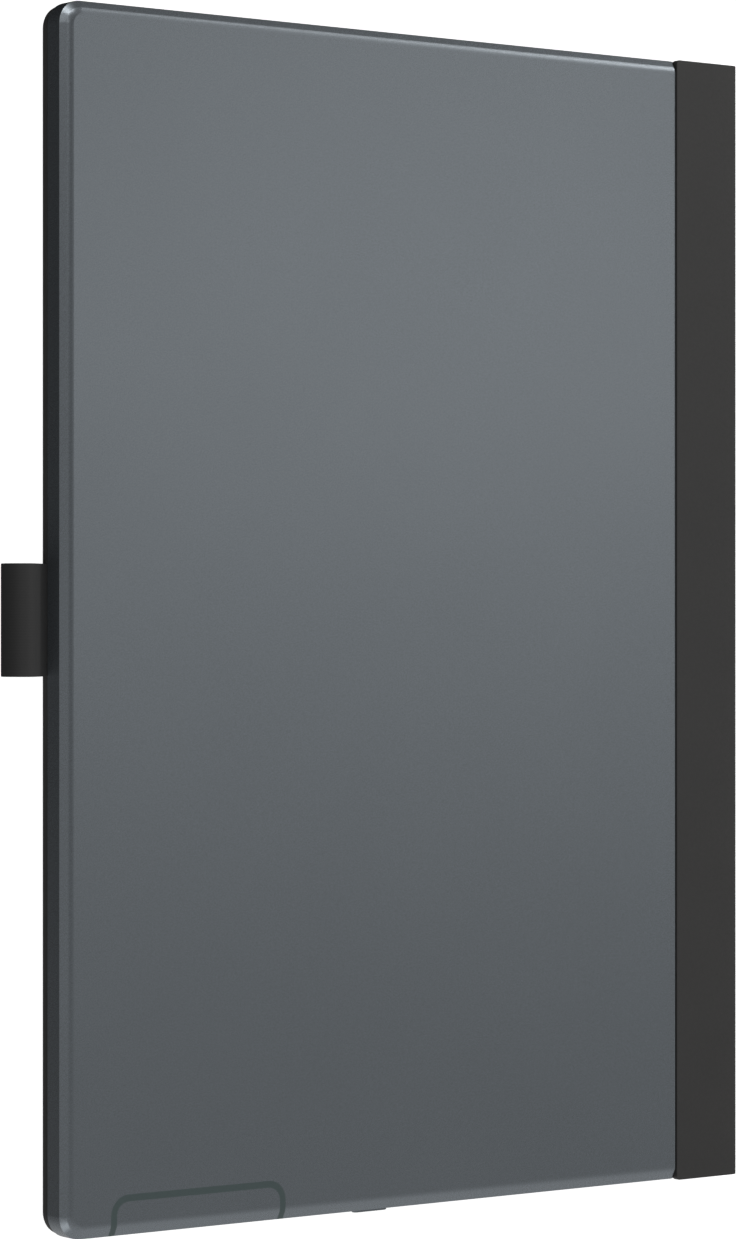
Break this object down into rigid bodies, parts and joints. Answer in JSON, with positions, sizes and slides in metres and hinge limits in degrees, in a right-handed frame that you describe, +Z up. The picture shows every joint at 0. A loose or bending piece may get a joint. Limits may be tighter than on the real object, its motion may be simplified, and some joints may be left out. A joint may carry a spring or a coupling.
{
  "type": "electronic paper notebook in a folio",
  "caption": "Slim electronic paper notebook lying face down in a book-style folio, with an aluminium back, a leather spine and back strip, and a pen loop.",
  "frame": {"origin": "under the middle of the whole object, pen loop included, on the surface it lies on", "axes": "+Z up, out of the notebook's aluminium back; +Y towards the notebook's top; +X towards the folio's spine"},
  "size_m": [0.1882, 0.247, 0.0074],
  "materials": {
    "shell_aluminium": "fine bead-blasted, anodised blue-grey",
    "button_aluminium": "anodised to match the shell",
    "antenna_plastic": "moulded, dark grey-green, flush",
    "folio_leather": "matte black synthetic leather with a fine grain",
    "folio_lining": "brushed microfibre",
    "fibre_board": "pressed fibre board",
    "spring_steel": "brushed sheet",
    "magnet_nickel": "nickel plated",
    "loop_elastic": "smooth black elastic with fine ribs",
    "bezel_plastic": "fine matte texture",
    "lens_glass": "etched anti-glare glass",
    "mask_print": "screen-printed border",
    "clear_film": "clear laminate",
    "guide_acrylic": "clear acrylic light guide",
    "led_epoxy": "phosphor-filled epoxy",
    "paper_film": "electronic paper, pale grey",
    "digitizer_laminate": "laminated sensor board",
    "foam_tape": "black foam tape",
    "flex_film": "polyimide film",
    "frame_magnesium": "cast and passivated",
    "screw_steel": "blackened steel",
    "cell_foil": "aluminium laminate pouch",
    "circuit_board": "solder mask",
    "lead_insulation": "insulated wire",
    "shield_nickel": "tin-plated sheet",
    "chip_epoxy": "moulded epoxy",
    "connector_plastic": "moulded nylon",
    "contact_gold": "gold plated spring contact",
    "port_steel": "stamped stainless steel",
    "switch_body": "moulded, with a plunger"
  },
  "bodies": {
    "front_cover": {"cover_skin": "folio_leather", "cover_board": "fibre_board", "cover_magnets": "magnet_nickel", "cover_lining": "folio_lining", "pen_loop": "loop_elastic"},
    "spine": {"spine_skin": "folio_leather", "spine_board": "fibre_board", "spine_lining": "folio_lining"},
    "notebook": {"rear_shell": "shell_aluminium", "antenna_plate": "shell_aluminium", "antenna_insert": "antenna_plastic", "strip_skin": "folio_leather", "strip_lining": "folio_lining", "strip_plate": "spring_steel", "strip_magnets": "magnet_nickel", "holding_magnets": "magnet_nickel", "closure_magnets": "magnet_nickel", "front_bezel": "bezel_plastic", "display_lens": "lens_glass", "lens_mask": "mask_print", "lens_adhesive": "clear_film", "touch_sensor": "clear_film", "light_guide": "guide_acrylic", "front_light_leds": "led_epoxy", "epaper_panel": "paper_film", "pen_digitizer": "digitizer_laminate", "display_tape": "foam_tape", "display_flex": "flex_film", "mid_frame": "frame_magnesium", "frame_screws": "screw_steel", "rebate_screws": "screw_steel", "board_screws": "screw_steel", "battery_cells": "cell_foil", "battery_tape": "foam_tape", "battery_board": "circuit_board", "battery_leads": "lead_insulation", "main_board": "circuit_board", "processor_shield": "shield_nickel", "board_chips": "chip_epoxy", "wireless_module": "shield_nickel", "board_connectors": "connector_plastic", "antenna_contact": "contact_gold", "usb_c_shell": "port_steel", "usb_c_tongue": "connector_plastic", "power_switch": "switch_body", "switch_bracket": "port_steel"},
    "button": {"power_button": "button_aluminium"}
  },
  "joints": [
    {"name": "cover_fold", "type": "hinge", "parent": "front_cover", "child": "spine", "pos_m": [0.09388, 0, 0.00025], "axis": [0, 1, 0], "range_deg": [0, 90]},
    {"name": "strip_fold", "type": "hinge", "parent": "spine", "child": "notebook", "pos_m": [0.09388, 0, 0.00715], "axis": [0, 1, 0], "range_deg": [0, 90]},
    {"name": "power_press", "type": "slide", "parent": "notebook", "child": "button", "axis": [0, 1, 0], "range_m": [0, 0.0003], "stiffness_N_per_m": 3000}
  ]
}
